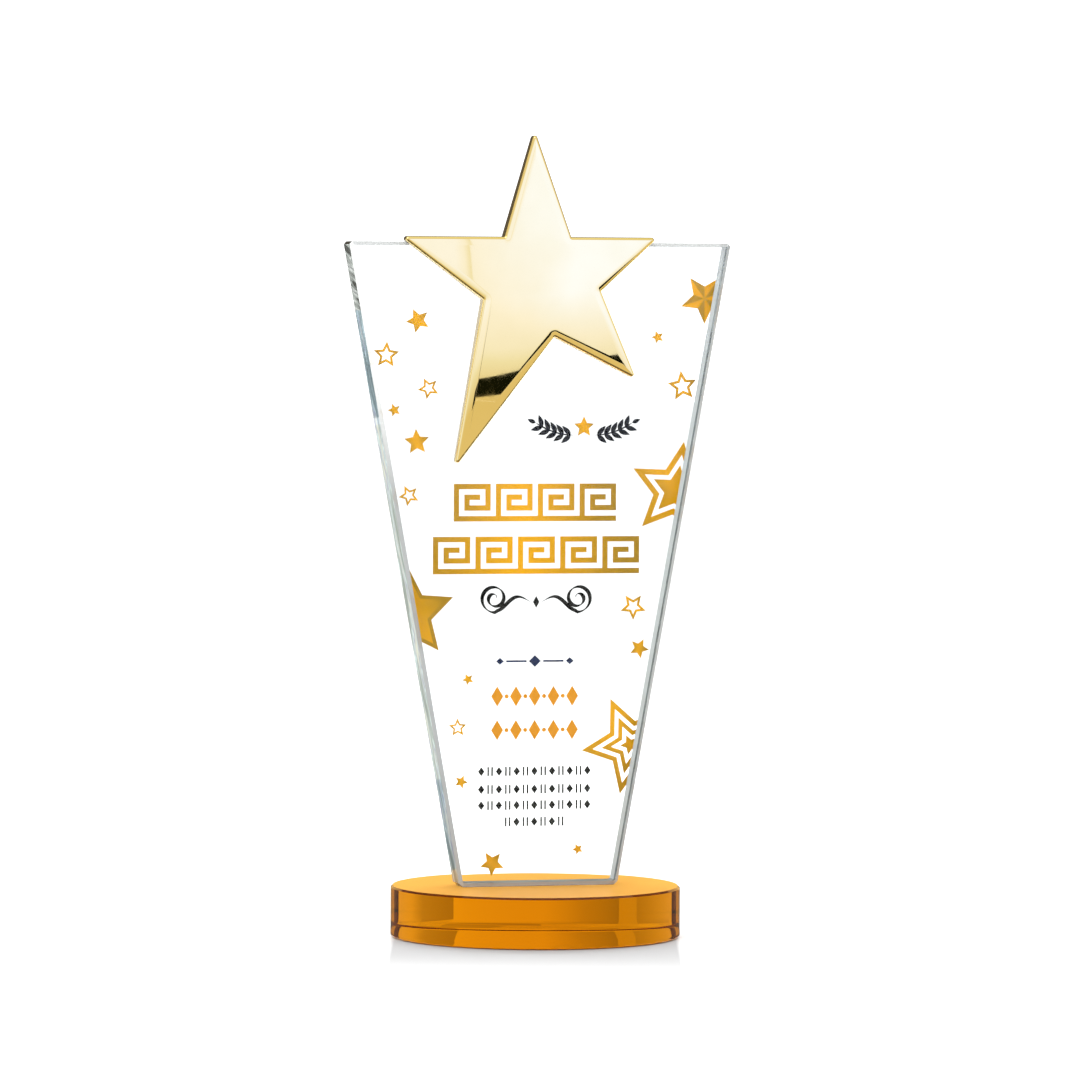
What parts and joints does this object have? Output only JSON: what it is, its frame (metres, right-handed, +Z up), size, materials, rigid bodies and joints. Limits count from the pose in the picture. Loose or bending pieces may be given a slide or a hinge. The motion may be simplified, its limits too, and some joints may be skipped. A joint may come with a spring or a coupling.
{
  "type": "star trophy",
  "caption": "Free-standing award: a tapered clear glass plate on a round amber glass base, with a polished gold star on its front and printed stars behind the glass.",
  "frame": {"origin": "centre of the round base's flat underside", "axes": "+Z up; the star and the front of the glass face -Y; +X to the right of someone looking at the front"},
  "size_m": [0.1456, 0.108, 0.2979],
  "materials": {
    "amber_glass": "clear amber glass, ground and polished all over",
    "clear_glass": "clear optical glass, polished faces and polished chamfers",
    "gold_plate": "bright gold plate on a polished zinc casting",
    "clear_adhesive": "clear cured adhesive film",
    "gold_ink": "shaded gold ink cured on the back of the glass",
    "orange_ink": "flat orange ink cured on the back of the glass",
    "black_ink": "black ink cured on the back of the glass",
    "navy_ink": "navy ink cured on the back of the glass"
  },
  "bodies": {
    "root": {"amber_base": "amber_glass", "base_film": "clear_adhesive", "glass_plate": "clear_glass", "star_pad": "clear_adhesive", "cast_star": "gold_plate"}
  },
  "joints": []
}
